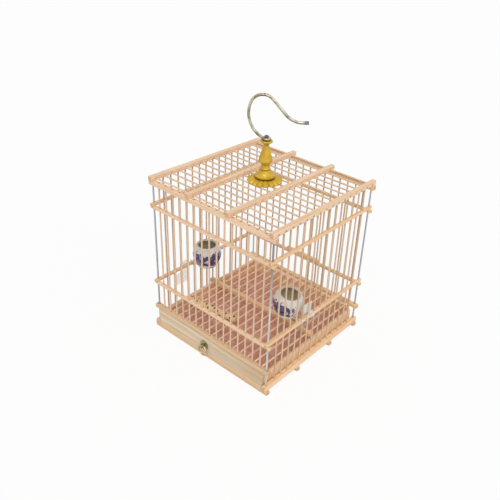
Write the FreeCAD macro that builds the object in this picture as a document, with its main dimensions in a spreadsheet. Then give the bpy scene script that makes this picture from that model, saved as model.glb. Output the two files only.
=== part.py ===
import FreeCAD, Part
import math
import os
import Sketcher

# Square bamboo bird cage with a pull-out tray, a turned ornament with a hook, cups, clips and a perch.
# X runs along the front, the front faces -Y, Z is up and the cage stands on Z = 0.
# The origin is on the floor under the middle of the whole, with its pull.

doc = FreeCAD.newDocument("bird_cage")
sheet = doc.addObject("Spreadsheet::Sheet", "Sizes")

# Name, value in mm, degrees or pieces, and what it is
SIZES = [
    ("cage_width", 215.0, "over the ends of the front rails"),
    ("cage_depth", 210.0, "over the ends of the side rails"),
    ("body_height", 240.0, "floor to top of the roof bars"),
    ("rail_heavy", 6.4, "side of the heavy square rails"),
    ("rail_slim", 4.4, "side of the slim square rails"),
    ("edge_round", 0.7, "rounding of rails and boards"),
    ("rod_inset", 5.0, "corner rod axis to both rail ends"),
    ("rod_diameter", 2.4, "steel corner rod"),
    ("rod_end_cover", 2.0, "wood left under and over a corner rod"),
    ("stick_diameter", 2.2, "bamboo stick"),
    ("glue_gap", 0.05, "round a stick or rod in its hole"),
    ("end_wood", 2.0, "wood left beyond the end of a wall stick"),
    ("cross_wood", 0.5, "wood between a crossing stick and the wall stick"),
    ("base_rail_height", 5.5, "front, back and inner base rails"),
    ("side_base_height", 8.0, "side base rails"),
    ("lower_rail_level", 32.4, "underside of the lower rails"),
    ("middle_rail_level", 74.0, "underside of the front and back middle rails"),
    ("upper_rail_drop", 47.0, "top of the roof bars to the underside of the front and back upper rails"),
    ("front_stick_count", 15, "sticks in the front wall"),
    ("front_stick_margin", 11.5, "corner rod to the first front stick"),
    ("side_stick_count", 14, "sticks in each side wall"),
    ("side_stick_margin", 16.8, "corner rod to the first side stick"),
    ("roof_stick_count", 16, "sticks in the roof"),
    ("roof_stick_margin", 4.0, "corner rod to the first roof stick"),
    ("roof_stick_level", 2.0, "roof stick axis over the underside of the roof bars"),
    ("floor_bar_width", 6.4, "cross bar of the floor grille"),
    ("inner_rail_gap", 0.5, "ends of the floor bar to the side walls"),
    ("base_bar_spread", 74.0, "between the two inner base bars"),
    ("door_stick_count", 5, "sliding sticks of the back door"),
    ("door_clearance", 0.1, "round a sliding door stick"),
    ("door_bar_overhang", 5.0, "door bar beyond its outer sticks"),
    ("door_bar_seat", 0.1, "under the closed door bar"),
    ("tray_side_gap", 1.0, "tray to the side base rails"),
    ("tray_run_gap", 0.2, "tray over the base rails"),
    ("tray_front_setback", 1.0, "tray front behind the rail ends"),
    ("tray_back_gap", 7.5, "tray back to the rail ends"),
    ("tray_bottom_thickness", 4.8, "plywood"),
    ("tray_front_thickness", 6.0, "front board"),
    ("tray_front_gap", 0.5, "front board to the lower rail"),
    ("tray_wall_thickness", 4.0, "side and back boards"),
    ("tray_wall_height", 17.0, "side boards"),
    ("tray_back_drop", 0.8, "back board to the lower rail"),
    ("liner_thickness", 1.0, "brown sheet in the tray"),
    ("liner_gap", 0.3, "liner to the tray walls"),
    ("pull_plate_diameter", 14.0, "brass plate"),
    ("pull_plate_thickness", 1.0, "brass plate"),
    ("pull_height", 20.8, "centre of the pull plate over the floor"),
    ("pull_side", 6.0, "pull to the left of the middle of the tray front"),
    ("eye_wire", 1.6, "wire of the pull eye"),
    ("eye_mean_diameter", 5.2, "middle of the pull eye wire"),
    ("ring_wire", 2.0, "wire of the pull ring"),
    ("ring_mean_diameter", 15.0, "middle of the pull ring wire"),
    ("ring_play", 0.35, "between ring and eye"),
    ("petal_tip_diameter", 46.0, "ornament base over the petal tips"),
    ("petal_count", 16, "petals of the ornament base"),
    ("petal_width", 7.6, "petal"),
    ("petal_length", 12.0, "petal"),
    ("petal_thickness", 2.2, "petal"),
    ("petal_droop", 18.0, "degrees a petal slopes down outwards"),
    ("petal_hub_diameter", 26.0, "round middle of the ornament base"),
    ("petal_hub_height", 6.6, "round middle of the ornament base"),
    ("roof_seat_gap", 0.05, "ornament base over the roof sticks"),
    ("bell_diameter", 27.0, "lower rim of the turned body"),
    ("bell_lip", 1.6, "height of the bell's rim"),
    ("bell_top_diameter", 16.4, "shoulder of the bell under the collar"),
    ("bell_height", 9.2, "bell of the turned body"),
    ("collar_diameter", 13.8, "collar over the bell"),
    ("collar_height", 3.0, "collar over the bell"),
    ("waist_diameter", 10.6, "under the bulb"),
    ("waist_height", 5.5, "cove from the collar to the bulb"),
    ("bulb_diameter", 18.4, "bulb"),
    ("bulb_rise", 4.4, "underside of the bulb to its widest part"),
    ("bulb_height", 24.3, "bulb"),
    ("neck_diameter", 7.0, "top of the bulb"),
    ("cap_rise", 3.9, "neck to the underside of the cap"),
    ("cap_diameter", 16.4, "cap of the turned body"),
    ("cap_height", 3.1, "cap of the turned body"),
    ("screw_diameter", 4.0, "ornament screw"),
    ("screw_bore_gap", 0.15, "round the screw in the ornament"),
    ("screw_head_diameter", 5.6, "ornament screw head"),
    ("screw_head_height", 1.9, "ornament screw head"),
    ("screw_tail", 1.5, "screw beyond its nut"),
    ("roof_washer_diameter", 22.0, "washer under the roof sticks"),
    ("roof_washer_thickness", 1.2, "washer under the roof sticks"),
    ("roof_nut_width", 7.0, "nut across its flats"),
    ("roof_nut_height", 3.2, "nut"),
    ("hook_wire", 3.8, "wire of the hook"),
    ("hook_eye_gap", 0.1, "hook eye round the screw and over the cap"),
    ("hook_head_gap", 0.6, "hook eye to the screw head"),
    ("hook_heading", 36.0, "degrees from X to the plane of the hook"),
    ("hook_start_angle", 153.0, "degrees at which the wire leaves the eye"),
    ("hook_back_radius", 35.8, "back of the hook"),
    ("hook_back_turn", 85.0, "degrees of the back arc"),
    ("hook_crown_radius", 16.2, "crown of the hook"),
    ("hook_crown_turn", 115.5, "degrees of the crown arc"),
    ("hook_run", 23.7, "straight run after the crown"),
    ("hook_toe_radius", 27.8, "upturned toe"),
    ("hook_toe_turn", 53.0, "degrees of the toe arc"),
    ("hook_toe_length", 4.8, "straight end"),
    ("hook_tip_diameter", 4.5, "dark cap on the end of the hook"),
    ("hook_tip_length", 5.5, "dark cap on the end of the hook"),
    ("hook_tip_cover", 1.5, "dark cap beyond the wire"),
    ("cup_height", 33.0, "porcelain cup"),
    ("cup_diameter", 40.8, "widest part of the cup"),
    ("cup_rim_diameter", 33.0, "outside of the rim"),
    ("cup_mouth_diameter", 24.4, "inside of the rim"),
    ("cup_foot_diameter", 29.0, "foot"),
    ("cup_foot_height", 3.0, "foot"),
    ("cup_wall", 3.2, "wall of the cup"),
    ("cup_reach", 26.5, "left cup to the side wall sticks"),
    ("cup_stick", 2.4, "stick pitches from the middle to the cup"),
    ("cup_sit", 4.2, "cup foot below its wire ring"),
    ("cup_play", 0.1, "between cup and wire ring"),
    ("cup_left_rise", 8.7, "left wire ring over its arms on the rail"),
    ("cup_right_reach", 28.9, "ring of the right cup to the side wall sticks"),
    ("cup_right_lean", 11.0, "degrees the right cup leans to its wall"),
    ("bracket_wire", 1.6, "wire of the cup bracket"),
    ("bracket_arms", 10.0, "between the two bracket arms"),
    ("bracket_tail", 4.5, "hooked end under the rail"),
    ("bracket_gap", 0.05, "bracket wire to the rail"),
    ("clip_width", 7.0, "strip of the feed clip"),
    ("clip_thickness", 1.5, "plastic of the feed clip"),
    ("clip_gap", 0.1, "clip to the rail"),
    ("clip_lip", 5.0, "outer lip of the feed clip"),
    ("clip_flag_width", 17.0, "flag beside the strip of the left clip"),
    ("clip_flag_height", 18.0, "flag of the left clip"),
    ("clip_long_end", 22.0, "strip of the left clip below the rail"),
    ("clip_short_end", 10.0, "strip of the left clip above the rail"),
    ("clip_small_width", 12.0, "flag beside the strip of the right clip"),
    ("clip_small_height", 14.0, "flag of the right clip"),
    ("clip_small_end", 17.5, "strip of the right clip above the rail"),
    ("clip_flag_start", 3.0, "rail to the flag"),
    ("clip_left_stick", 4.12, "stick pitches from the middle to the left clip"),
    ("clip_right_stick", 1.1, "stick pitches from the middle to the right clip"),
    ("perch_diameter", 9.2, "perch between its knobs"),
    ("perch_knob_rise", 0.8, "knobs over the perch"),
    ("perch_knob_count", 7, "knobs along the perch"),
    ("perch_length", 87.0, "perch"),
    ("perch_heading", 7.8, "degrees from X to the perch"),
    ("perch_start_x", 82.0, "left end of the perch to the middle"),
    ("perch_start_y", 65.2, "left end of the perch to the middle"),
]

for row, (name, value, meaning) in enumerate(SIZES, start=1):
    sheet.set(f"A{row}", name)
    sheet.set(f"B{row}", str(value))
    sheet.set(f"C{row}", meaning)
    sheet.setAlias(f"B{row}", name)
doc.recompute()


class Names:
    """Expressions of the sheet's cells and of the sizes that follow from them."""


N = Names()
for name, value, meaning in SIZES:
    setattr(N, name, f"Sizes.{name}")

N.rod_x = "(Sizes.cage_width / 2 - Sizes.rod_inset)"
N.rod_y = "(Sizes.cage_depth / 2 - Sizes.rod_inset)"
N.hole = "(Sizes.stick_diameter + 2 * Sizes.glue_gap)"
N.rod_hole = "(Sizes.rod_diameter + 2 * Sizes.glue_gap)"
N.door_hole = "(Sizes.stick_diameter + 2 * Sizes.door_clearance)"
N.stick_radius = "(Sizes.stick_diameter / 2)"
N.front_span = f"(2 * ({N.rod_x} - Sizes.front_stick_margin))"
N.side_span = f"(2 * ({N.rod_y} - Sizes.side_stick_margin))"
N.roof_span = f"(2 * ({N.rod_y} - Sizes.roof_stick_margin))"
N.front_pitch = f"({N.front_span} / (Sizes.front_stick_count - 1))"
N.side_pitch = f"({N.side_span} / (Sizes.side_stick_count - 1))"
N.wing_count = "((Sizes.front_stick_count - Sizes.door_stick_count) / 2)"
N.roof_bar_z = "(Sizes.body_height - Sizes.rail_heavy)"
N.top_rail_z = "(Sizes.body_height - 2 * Sizes.rail_heavy)"
N.upper_rail_level = "(Sizes.body_height - Sizes.upper_rail_drop)"
N.side_upper_z = f"({N.upper_rail_level} + Sizes.rail_slim)"
N.side_middle_z = "(Sizes.middle_rail_level + Sizes.rail_slim)"
N.roof_stick_z = f"({N.roof_bar_z} + Sizes.roof_stick_level)"
N.floor_stick_z = "(Sizes.lower_rail_level + Sizes.rail_heavy / 2)"
N.cross_end_x = f"({N.rod_x} - {N.stick_radius} - Sizes.cross_wood)"
N.cross_end_y = f"({N.rod_y} - {N.stick_radius} - Sizes.cross_wood)"
N.inner_half = f"({N.rod_x} - Sizes.rail_heavy / 2 - Sizes.inner_rail_gap)"

# The pull reaches out at the front, so the cage sits back to keep the whole centred on the origin
N.pull_reach = "(Sizes.pull_plate_thickness + Sizes.eye_mean_diameter + Sizes.eye_wire / 2)"
N.middle_y = f"(({N.pull_reach} - Sizes.tray_front_setback) / 2)"

nodes = []


def number(expression):
    """Value of an expression of the sheet."""
    return float(sheet.evalExpression(expression))


def bind(item, target, expression):
    item.setExpression(target, str(expression))


def place(item, x, y, z):
    """Put an object at a point measured from the middle of the cage's base."""
    bind(item, "Placement.Base.x", x)
    bind(item, "Placement.Base.y", f"{y} + {N.middle_y}")
    bind(item, "Placement.Base.z", z)


def keep(item, label):
    """Make this document object one node of the assembly."""
    item.Label = label
    nodes.append(item)
    return item


def plane(body, role):
    return next(feature for feature in body.Origin.OriginFeatures if feature.Role == role)


def sketch_on(body, role, name, offset="0"):
    sketch = body.newObject("Sketcher::SketchObject", name)
    sketch.AttachmentSupport = (plane(body, role), [""])
    sketch.MapMode = "FlatFace"
    bind(sketch, "AttachmentOffset.Base.z", offset)
    return sketch


def distance(sketch, kind, first, second, expression):
    index = sketch.addConstraint(Sketcher.Constraint(kind, *first, *second, 1.0))
    sketch.setExpression(f"Constraints[{index}]", str(expression))


def centred_rectangle(sketch, width, height):
    corners = [(-5, -4), (5, -4), (5, 4), (-5, 4)]
    points = [FreeCAD.Vector(x, y, 0) for x, y in corners]
    for i in range(4):
        sketch.addGeometry(Part.LineSegment(points[i], points[(i + 1) % 4]), False)
    for i in range(4):
        sketch.addConstraint(Sketcher.Constraint("Coincident", i, 2, (i + 1) % 4, 1))
    for i in (0, 2):
        sketch.addConstraint(Sketcher.Constraint("Horizontal", i))
    for i in (1, 3):
        sketch.addConstraint(Sketcher.Constraint("Vertical", i))
    sketch.addConstraint(Sketcher.Constraint("Symmetric", 0, 1, 1, 2, -1, 1))
    distance(sketch, "DistanceX", (0, 1), (0, 2), width)
    distance(sketch, "DistanceY", (1, 1), (1, 2), height)


class Drill:
    """A row of equal round holes along a rail, from its underside, top, inner face or right through."""

    def __init__(self, start, span, count, size, side, depth="0", height="0"):
        self.start = start
        self.span = span
        self.count = count
        self.size = size
        self.side = side
        self.depth = depth
        self.height = height


def drill_row(body, drill, name, width, height):
    """Cut one row of holes into a rail body."""
    if drill.side in ("under", "top", "through"):
        offset = f"-({height}) / 2" if drill.side == "under" else f"({height}) / 2"
        sketch = sketch_on(body, "XY_Plane", f"{name}_spot", offset)
    else:
        offset = f"-({width}) / 2" if drill.side == "inner" else "0"
        sketch = sketch_on(body, "XZ_Plane", f"{name}_spot", offset)
    circle = sketch.addGeometry(Part.Circle(FreeCAD.Vector(1, 1, 0), FreeCAD.Vector(0, 0, 1), 1.0), False)
    index = sketch.addConstraint(Sketcher.Constraint("Diameter", circle, 1.0))
    sketch.setExpression(f"Constraints[{index}]", drill.size)
    distance(sketch, "DistanceX", (-1, 1), (circle, 3), drill.start)
    distance(sketch, "DistanceY", (-1, 1), (circle, 3), drill.height)
    pocket = body.newObject("PartDesign::Pocket", f"{name}_hole")
    pocket.Profile = (sketch, [""])
    if drill.side in ("through", "cross"):
        pocket.Type = "ThroughAll"
        pocket.SideType = "Symmetric"
    else:
        bind(pocket, "Length", drill.depth)
        pocket.Reversed = drill.side in ("under", "inner")
    row = body.newObject("PartDesign::LinearPattern", f"{name}_row")
    row.Originals = [pocket]
    row.Direction = (sketch, ["H_Axis"])
    bind(row, "Length", drill.span)
    bind(row, "Occurrences", drill.count)
    body.Tip = row


def rail(label, length, width, height, centre_x, centre_y, under_z, along="X", drills=(), flip=False):
    """Square bar with rounded edges and drilled rows, lying along X or Y with its underside at under_z."""
    body = doc.addObject("PartDesign::Body", label)
    section = sketch_on(body, "YZ_Plane", f"{label}_section")
    centred_rectangle(section, width, height)
    bar = body.newObject("PartDesign::Pad", f"{label}_bar")
    bar.Profile = (section, [""])
    bar.SideType = "Symmetric"
    bind(bar, "Length", length)
    rounding = body.newObject("PartDesign::Fillet", f"{label}_rounding")
    rounding.Base = (bar, [""])
    rounding.UseAllEdges = True
    bind(rounding, "Radius", N.edge_round)
    body.Tip = rounding
    doc.recompute()
    for order, drill in enumerate(drills):
        before = body.Shape.Volume
        drill_row(body, drill, f"{label}_{order}", width, height)
        doc.recompute()
        radius = number(drill.size) / 2
        least = number(drill.count) * math.pi * radius**2 * 1.5
        if before - body.Shape.Volume < least:
            raise RuntimeError(f"{label}: hole row {order} cuts too little")
    turn = {"X": 0, "Y": 90}[along] + (180 if flip else 0)
    body.Placement.Rotation = FreeCAD.Rotation(FreeCAD.Vector(0, 0, 1), turn)
    place(body, centre_x, centre_y, f"{under_z} + ({height}) / 2")
    return keep(body, label)


def cylinder(label, diameter, length, x, y, z, axis="Z"):
    rod = doc.addObject("Part::Cylinder", label)
    bind(rod, "Radius", f"({diameter}) / 2")
    bind(rod, "Height", length)
    directions = {"X": (1, 0, 0), "Y": (0, 1, 0), "Z": (0, 0, 1)}
    rod.Placement.Rotation = FreeCAD.Rotation(FreeCAD.Vector(0, 0, 1), FreeCAD.Vector(*directions[axis]))
    place(rod, x, y, z)
    return rod


def block(label, low, high):
    """Plain box between two corners given as expressions."""
    box = doc.addObject("Part::Box", label)
    for side, low_edge, high_edge in zip(("Length", "Width", "Height"), low, high):
        bind(box, side, f"({high_edge}) - ({low_edge})")
    place(box, *low)
    return box


def group(label, items):
    compound = doc.addObject("Part::Compound", label)
    compound.Links = items
    return keep(compound, label)


def fused(label, items):
    joined = doc.addObject("Part::MultiFuse", label)
    joined.Shapes = items
    joined.Refine = True
    return keep(joined, label)


def formed(label, shape):
    """A node whose free form is made from the sheet's values."""
    item = doc.addObject("Part::Feature", label)
    item.Shape = shape
    return keep(item, label)


def spaced(span, count, index):
    """Expression of the place of one stick in a centred row."""
    return f"(-({span}) / 2 + {index} * ({span}) / ({count} - 1))"


def upright_sticks(label, indices, span, count, fixed, along, low, high):
    """Group of upright sticks standing in a row along X or Y, from low to high."""
    sticks = []
    for index in indices:
        run = spaced(span, count, index)
        x, y = (run, fixed) if along == "X" else (fixed, run)
        sticks.append(cylinder(f"{label}_{index}", N.stick_diameter, f"({high}) - ({low})", x, y, low))
    return group(label, sticks)


front_count = int(number(N.front_stick_count))
side_count = int(number(N.side_stick_count))
roof_count = int(number(N.roof_stick_count))
door_count = int(number(N.door_stick_count))
wing_count = (front_count - door_count) // 2

# Rows of holes shared by several rails
rod_ends_x = f"-{N.rod_x}"
rod_ends_y = f"-{N.rod_y}"
rods_x = Drill(rod_ends_x, f"2 * {N.rod_x}", "2", N.rod_hole, "through")
rods_y = Drill(rod_ends_y, f"2 * {N.rod_y}", "2", N.rod_hole, "through")
front_start = f"-{N.front_span} / 2"
side_start = f"-{N.side_span} / 2"
roof_start = f"-{N.roof_span} / 2"
front_through = Drill(front_start, N.front_span, N.front_stick_count, N.hole, "through")
side_through = Drill(side_start, N.side_span, N.side_stick_count, N.hole, "through")
heavy_blind = f"({N.rail_heavy} - {N.end_wood})"
slim_blind = f"({N.rail_slim} - {N.end_wood})"
wing_span = f"{N.front_pitch} * ({N.wing_count} - 1)"
door_span = f"{N.front_pitch} * ({N.door_stick_count} - 1)"
door_start = f"-{door_span} / 2"
right_wing_start = f"{N.front_span} / 2 - {wing_span}"


def wing_rows(side, depth="0"):
    """The two outer groups of stick holes in the back wall."""
    starts = (front_start, right_wing_start)
    return [Drill(start, wing_span, N.wing_count, N.hole, side, depth) for start in starts]


# Roof bars, front to back, on top of the front and back walls
inner_bar_x = f"{N.rod_x} / 3"
roof_level = f"{N.roof_stick_level} - {N.rail_heavy} / 2"
cross_depth = f"{N.rail_heavy} / 2 - {N.stick_radius} - {N.cross_wood} + {N.glue_gap}"
roof_blind = Drill(
    roof_start, N.roof_span, N.roof_stick_count, N.hole, "inner", cross_depth, roof_level
)
roof_cross = Drill(roof_start, N.roof_span, N.roof_stick_count, N.hole, "cross", height=roof_level)
side_top_blind = Drill(side_start, N.side_span, N.side_stick_count, N.hole, "under", heavy_blind)
rod_top_blind = Drill(
    rod_ends_y, f"2 * {N.rod_y}", "2", N.rod_hole, "under", f"{N.rail_heavy} - {N.rod_end_cover}"
)
outer_drills = [rod_top_blind, side_top_blind, roof_blind]
for side, place_x, flip in (("left", f"-{N.rod_x}", True), ("right", N.rod_x, False)):
    rail(
        f"roof_bar_{side}",
        N.cage_depth,
        N.rail_heavy,
        N.rail_heavy,
        place_x,
        "0",
        N.roof_bar_z,
        "Y",
        outer_drills,
        flip,
    )
for side, place_x in (("left", f"-{inner_bar_x}"), ("right", inner_bar_x)):
    rail(
        f"roof_bar_inner_{side}",
        N.cage_depth,
        N.rail_heavy,
        N.rail_heavy,
        place_x,
        "0",
        N.roof_bar_z,
        "Y",
        [roof_cross],
    )
roof_sticks = []
for index in range(roof_count):
    y = spaced(N.roof_span, N.roof_stick_count, index)
    stick = cylinder(
        f"roof_stick_{index}",
        N.stick_diameter,
        f"2 * {N.cross_end_x}",
        f"-{N.cross_end_x}",
        y,
        N.roof_stick_z,
        "X",
    )
    roof_sticks.append(stick)
group("roof_sticks", roof_sticks)

# Front wall: heavy top and lower rails, slim upper and middle rails, thin base rail
front_y = f"-{N.rod_y}"
front_top_blind = Drill(front_start, N.front_span, N.front_stick_count, N.hole, "under", heavy_blind)
front_low_blind = Drill(front_start, N.front_span, N.front_stick_count, N.hole, "top", heavy_blind)
floor_blind = Drill(front_start, N.front_span, N.front_stick_count, N.hole, "inner", cross_depth)
rod_foot = Drill(
    rod_ends_x,
    f"2 * {N.rod_x}",
    "2",
    N.rod_hole,
    "top",
    f"{N.base_rail_height} - {N.rod_end_cover}",
)
heavy = (N.rail_heavy, N.rail_heavy)
slim = (N.rail_slim, N.rail_slim)
base = (N.rail_heavy, N.base_rail_height)
front_rails = [
    ("front_top_rail", heavy, N.top_rail_z, [rods_x, front_top_blind]),
    ("front_upper_rail", slim, N.upper_rail_level, [rods_x, front_through]),
    ("front_middle_rail", slim, N.middle_rail_level, [rods_x, front_through]),
    ("front_lower_rail", heavy, N.lower_rail_level, [rods_x, front_low_blind, floor_blind]),
    ("front_base_rail", base, "0", [rod_foot]),
]
for label, section, level, drills in front_rails:
    rail(label, N.cage_width, *section, "0", front_y, level, "X", drills)
front_low = f"{N.lower_rail_level} + {N.end_wood}"
top_end = f"{N.top_rail_z} + {heavy_blind}"
upright_sticks(
    "front_sticks", range(front_count), N.front_span, N.front_stick_count, front_y, "X", front_low, top_end
)

# Back wall: the middle sticks above the middle rail belong to the lift door
door_guide = Drill(door_start, door_span, N.door_stick_count, N.door_hole, "through")
short_blind = Drill(door_start, door_span, N.door_stick_count, N.hole, "under", slim_blind)
base_blind = Drill(
    front_start,
    N.front_span,
    N.front_stick_count,
    N.hole,
    "top",
    f"{N.base_rail_height} - {N.end_wood}",
)
back_rails = [
    ("back_top_rail", heavy, N.top_rail_z, [rods_x, door_guide] + wing_rows("under", heavy_blind)),
    ("back_upper_rail", slim, N.upper_rail_level, [rods_x, door_guide] + wing_rows("through")),
    ("back_middle_rail", slim, N.middle_rail_level, [rods_x, short_blind] + wing_rows("through")),
    ("back_base_rail", base, "0", [rod_foot, base_blind]),
]
for label, section, level, drills in back_rails:
    rail(label, N.cage_width, *section, "0", N.rod_y, level, "X", drills)
rail(
    "back_lower_rail",
    N.cage_width,
    N.rail_heavy,
    N.rail_heavy,
    "0",
    N.rod_y,
    N.lower_rail_level,
    "X",
    [rods_x, front_through, floor_blind],
    True,
)
door_indices = range(wing_count, wing_count + door_count)
short_end = f"{N.middle_rail_level} + {slim_blind}"
back_groups = [
    ("back_sticks_left", range(wing_count), top_end),
    ("back_sticks_right", range(wing_count + door_count, front_count), top_end),
    ("back_sticks_short", door_indices, short_end),
]
for label, indices, high in back_groups:
    upright_sticks(label, indices, N.front_span, N.front_stick_count, N.rod_y, "X", N.end_wood, high)

# Lift door: a bar that rests on the back middle rail and sticks that slide in the rails above
door_bar_z = f"{N.middle_rail_level} + {N.rail_slim} + {N.door_bar_seat}"
door_blind = Drill(door_start, door_span, N.door_stick_count, N.hole, "top", slim_blind)
rail(
    "door_bar",
    f"{door_span} + 2 * {N.door_bar_overhang}",
    N.rail_slim,
    N.rail_slim,
    "0",
    N.rod_y,
    door_bar_z,
    "X",
    [door_blind],
)
door_low = f"{door_bar_z} + {N.end_wood}"
upright_sticks(
    "door_sticks",
    door_indices,
    N.front_span,
    N.front_stick_count,
    N.rod_y,
    "X",
    door_low,
    top_end,
)

# Side walls, whose rails lie on the front and back rails
side_base_blind = Drill(
    side_start,
    N.side_span,
    N.side_stick_count,
    N.hole,
    "top",
    f"{N.side_base_height} - {N.end_wood}",
)
roof_stick_end = f"{N.roof_bar_z} + {heavy_blind}"
for side, side_x in (("left", f"-{N.rod_x}"), ("right", N.rod_x)):
    side_rails = [
        (f"{side}_upper_rail", slim, N.side_upper_z, side_through),
        (f"{side}_middle_rail", slim, N.side_middle_z, side_through),
        (f"{side}_base_rail", (N.rail_heavy, N.side_base_height), N.base_rail_height, side_base_blind),
    ]
    for label, section, level, stick_row in side_rails:
        rail(label, N.cage_depth, *section, side_x, "0", level, "Y", [rods_y, stick_row])
    upright_sticks(
        f"{side}_sticks",
        range(side_count),
        N.side_span,
        N.side_stick_count,
        side_x,
        "Y",
        f"{N.base_rail_height} + {N.end_wood}",
        roof_stick_end,
    )

# Corner rods
rod_length = f"{N.body_height} - 2 * {N.rod_end_cover}"
corner_rods = []
for label, sign_x, sign_y in (
    ("front_left", "-", "-"),
    ("front_right", "", "-"),
    ("back_left", "-", ""),
    ("back_right", "", ""),
):
    rod_x = f"{sign_x}{N.rod_x}"
    rod_y = f"{sign_y}{N.rod_y}"
    corner_rods.append(cylinder(f"rod_{label}", N.rod_diameter, rod_length, rod_x, rod_y, N.rod_end_cover))
group("corner_rods", corner_rods)

# Inner base bars under the tray
for label, sign in (("front", "-"), ("back", "")):
    rail(
        f"base_bar_{label}",
        N.cage_width,
        N.rail_heavy,
        N.base_rail_height,
        "0",
        f"{sign}{N.base_bar_spread} / 2",
        "0",
    )

# Floor grille between the front and back lower rails
rail(
    "floor_bar",
    f"2 * {N.inner_half}",
    N.floor_bar_width,
    N.rail_heavy,
    "0",
    "0",
    N.lower_rail_level,
    "X",
    [Drill(front_start, N.front_span, N.front_stick_count, N.hole, "cross")],
)
floor_sticks = []
for index in range(front_count):
    x = spaced(N.front_span, N.front_stick_count, index)
    stick = cylinder(
        f"floor_stick_{index}",
        N.stick_diameter,
        f"2 * {N.cross_end_y}",
        x,
        f"-{N.cross_end_y}",
        N.floor_stick_z,
        "Y",
    )
    floor_sticks.append(stick)
group("floor_sticks", floor_sticks)

# Tray: plywood bottom with boards standing on it and a brown liner
tray_half = f"({N.rod_x} - {N.rail_heavy} / 2 - {N.tray_side_gap})"
tray_front_y = f"(-{N.cage_depth} / 2 + {N.tray_front_setback})"
tray_back_y = f"({N.cage_depth} / 2 - {N.tray_back_gap})"
tray_low = f"({N.base_rail_height} + {N.tray_run_gap})"
tray_floor = f"({tray_low} + {N.tray_bottom_thickness})"
front_board_y = f"({tray_front_y} + {N.tray_front_thickness})"


def board(label, low, high):
    """Flat board with rounded edges between two corners given as expressions."""
    length = f"({high[0]}) - ({low[0]})"
    width = f"({high[1]}) - ({low[1]})"
    height = f"({high[2]}) - ({low[2]})"
    middle_x = f"(({high[0]}) + ({low[0]})) / 2"
    middle_y = f"(({high[1]}) + ({low[1]})) / 2"
    return rail(label, length, width, height, middle_x, middle_y, low[2])


board("tray_bottom", (f"-{tray_half}", tray_front_y, tray_low), (tray_half, tray_back_y, tray_floor))
front_board_top = f"{N.lower_rail_level} - {N.tray_front_gap}"
board("tray_front", (f"-{tray_half}", tray_front_y, tray_floor), (tray_half, front_board_y, front_board_top))
wall_top = f"({tray_floor} + {N.tray_wall_height})"
wall_inner_x = f"({tray_half} - {N.tray_wall_thickness})"
wall_back_y = f"({tray_back_y} - {N.tray_wall_thickness})"
board("tray_left", (f"-{tray_half}", front_board_y, tray_floor), (f"-{wall_inner_x}", tray_back_y, wall_top))
board("tray_right", (wall_inner_x, front_board_y, tray_floor), (tray_half, tray_back_y, wall_top))
back_board_top = f"{N.lower_rail_level} - {N.tray_back_drop}"
board("tray_back", (f"-{wall_inner_x}", wall_back_y, tray_floor), (wall_inner_x, tray_back_y, back_board_top))
liner_half = f"({wall_inner_x} - {N.liner_gap})"
liner_top = f"{tray_floor} + {N.liner_thickness}"
liner = block(
    "tray_liner",
    (f"-{liner_half}", f"{front_board_y} + {N.liner_gap}", tray_floor),
    (liner_half, f"{wall_back_y} - {N.liner_gap}", liner_top),
)
keep(liner, "tray_liner")

# Pull: plate with an eye, and a ring that hangs in the eye
plate_front_y = f"({tray_front_y} - {N.pull_plate_thickness})"
pull_x = f"-{N.pull_side}"
plate = cylinder(
    "pull_disc", N.pull_plate_diameter, N.pull_plate_thickness, pull_x, plate_front_y, N.pull_height, "Y"
)
eye_y = f"({plate_front_y} - {N.eye_mean_diameter} / 2)"
eye = doc.addObject("Part::Torus", "pull_eye")
bind(eye, "Radius1", f"{N.eye_mean_diameter} / 2")
bind(eye, "Radius2", f"{N.eye_wire} / 2")
eye.Placement.Rotation = FreeCAD.Rotation(FreeCAD.Vector(0, 1, 0), 90)
place(eye, pull_x, eye_y, N.pull_height)
fused("pull_plate", [plate, eye])
eye_bottom = f"({N.pull_height} - {N.eye_mean_diameter} / 2 + {N.eye_wire} / 2)"
ring_top = f"({eye_bottom} + {N.ring_wire} / 2 + {N.ring_play})"
ring = doc.addObject("Part::Torus", "pull_ring")
bind(ring, "Radius1", f"{N.ring_mean_diameter} / 2")
bind(ring, "Radius2", f"{N.ring_wire} / 2")
ring.Placement.Rotation = FreeCAD.Rotation(FreeCAD.Vector(1, 0, 0), 90)
place(ring, pull_x, eye_y, f"{ring_top} - {N.ring_mean_diameter} / 2")
keep(ring, "pull_ring")

# Ornament on the roof: petal base, turned body, screw, washer and nut on one upright axis
seat_z = f"({N.roof_stick_z} + {N.stick_radius} + {N.roof_seat_gap})"
body_z = f"({seat_z} + {N.petal_hub_height})"
bore_radius = f"({N.screw_diameter} / 2 + {N.screw_bore_gap})"
UP = FreeCAD.Vector(0, 0, 1)
ORIGIN = FreeCAD.Vector(0, 0, 0)


def arc_edge(first, middle, last):
    return Part.Arc(FreeCAD.Vector(*first), FreeCAD.Vector(*middle), FreeCAD.Vector(*last)).toShape()


def line_edge(first, last):
    return Part.makeLine(FreeCAD.Vector(*first), FreeCAD.Vector(*last))


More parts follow.
